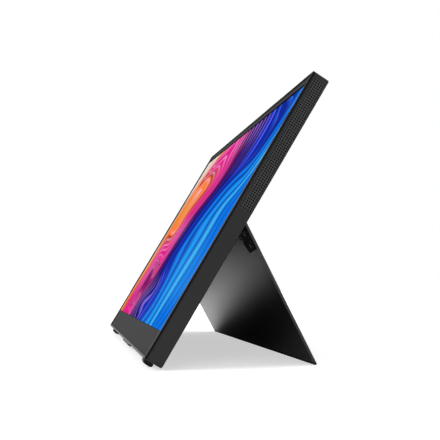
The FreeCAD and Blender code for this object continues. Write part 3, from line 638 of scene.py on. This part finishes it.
fresh()
bpy.ops.mesh.primitive_plane_add(size=floor_size, location=(0, 0, -floor_drop))
floor = active()
floor.name = "floor"
paper = bpy.data.materials.new("white_paper")
paper.use_nodes = True
tree = paper.node_tree
tree.nodes.clear()
path = put(tree, "ShaderNodeLightPath")
reflected = put(tree, "ShaderNodeMath", {0: path.outputs["Is Glossy Ray"],
                                         1: path.outputs["Is Transmission Ray"]}, operation="MAXIMUM")
spot = put(tree, "ShaderNodeTexCoord").outputs["Object"]
away = put(tree, "ShaderNodeVectorMath", {0: spot}, operation="LENGTH").outputs["Value"]
far_white = put(tree, "ShaderNodeMapRange", {"Value": away, "From Min": glow_start, "From Max": glow_end,
                                             "To Min": floor_glow, "To Max": 1.0})
direct = put(tree, "ShaderNodeMath", {0: path.outputs["Is Camera Ray"], 1: far_white.outputs["Result"]},
             operation="MULTIPLY")
pool = put(tree, "ShaderNodeMapping", {"Vector": spot, "Scale": (1, pool_stretch, 1),
                                       "Location": (-pool_across, -pool_back * pool_stretch, 0)})
pool_reach = put(tree, "ShaderNodeVectorMath", {0: pool.outputs["Vector"]}, operation="LENGTH")
beside = put(tree, "ShaderNodeMapRange", {"Value": pool_reach.outputs["Value"], "From Min": pool_edge,
                                          "From Max": pool_core}, interpolation_type="SMOOTHSTEP")
beyond = put(tree, "ShaderNodeMapRange", {"Value": away, "From Min": mirror_start, "From Max": mirror_end})
mirror = put(tree, "ShaderNodeMath", {0: beside.outputs["Result"], 1: beyond.outputs["Result"]},
             operation="MAXIMUM")
strength = put(tree, "ShaderNodeMath", {0: reflected.outputs[0], 1: mirror.outputs[0], 2: direct.outputs[0]},
               operation="MULTIPLY_ADD")
matt = put(tree, "ShaderNodeBsdfDiffuse", {"Color": colour("#d9d9d9")})
glow = put(tree, "ShaderNodeEmission", {"Color": colour("#ffffff"), "Strength": strength.outputs[0]})
both = put(tree, "ShaderNodeAddShader", {0: matt.outputs[0], 1: glow.outputs[0]})
put(tree, "ShaderNodeOutputMaterial", {"Surface": both.outputs[0]})
floor.data.materials.append(paper)

# Background: white to the camera. It lights the object at a plain level, and reflections see a white room
# with a dark ceiling.
room_light = 0.55
wall_top = 0.4
ceiling_edge = 0.6
ceiling_light = 0.08
world = bpy.data.worlds.new("studio")
bpy.context.scene.world = world
world.use_nodes = True
tree = world.node_tree
tree.nodes.clear()
path = put(tree, "ShaderNodeLightPath")
reflected = put(tree, "ShaderNodeMath", {0: path.outputs["Is Glossy Ray"],
                                         1: path.outputs["Is Transmission Ray"]}, operation="MAXIMUM")
height = put(tree, "ShaderNodeSeparateXYZ", {0: put(tree, "ShaderNodeTexCoord").outputs["Generated"]})
room = put(tree, "ShaderNodeMapRange", {"Value": height.outputs["Z"], "From Min": wall_top,
                                        "From Max": ceiling_edge, "To Min": 1.0, "To Max": ceiling_light})
seen = put(tree, "ShaderNodeMapRange", {"Value": path.outputs["Is Camera Ray"], "To Min": room_light,
                                        "To Max": 1.0})
level = put(tree, "ShaderNodeMix", {"Factor": reflected.outputs[0], "A": seen.outputs["Result"],
                                    "B": room.outputs["Result"]})
sky = put(tree, "ShaderNodeBackground", {"Color": colour("#ffffff"), "Strength": level.outputs["Result"]})
put(tree, "ShaderNodeOutputWorld", {"Surface": sky.outputs[0]})


def aim(name, data, place, target):
    """Adds a lamp or a camera at a place, looking at a target."""
    thing = bpy.data.objects.new(name, data)
    bpy.context.scene.collection.objects.link(thing)
    thing.location = place
    thing.rotation_euler = (Vector(target) - Vector(place)).to_track_quat("-Z", "Y").to_euler()
    return thing


# Soft studio light: each lamp's place and size in metres and its power in watts
lamp_target = (0, 0, 0.1)
softboxes = (("key_light", (0.25, -1.42, 1.24), 0.8, 16),
             ("top_light", (-0.3, 0.7, 1.7), 1.2, 10),
             ("side_light", (1.6, -0.9, 0.8), 1.0, 4))
for name, place, size, power in softboxes:
    light = bpy.data.lights.new(name, "AREA")
    light.shape = "SQUARE"
    light.size = size
    light.energy = power
    aim(name, light, place, lamp_target)

# Camera at the photograph's angle
camera_data = bpy.data.cameras.new("camera")
camera_data.sensor_width = 36.0
camera_data.lens = 60.174
camera_place = Vector((583.312, -101.529, 50.997)) * mm
camera_target = Vector((-1.728, 21.635, 100.382)) * mm
bpy.context.scene.camera = aim("camera", camera_data, camera_place, camera_target)
bpy.context.scene.view_settings.view_transform = "Standard"

bpy.context.view_layer.update()
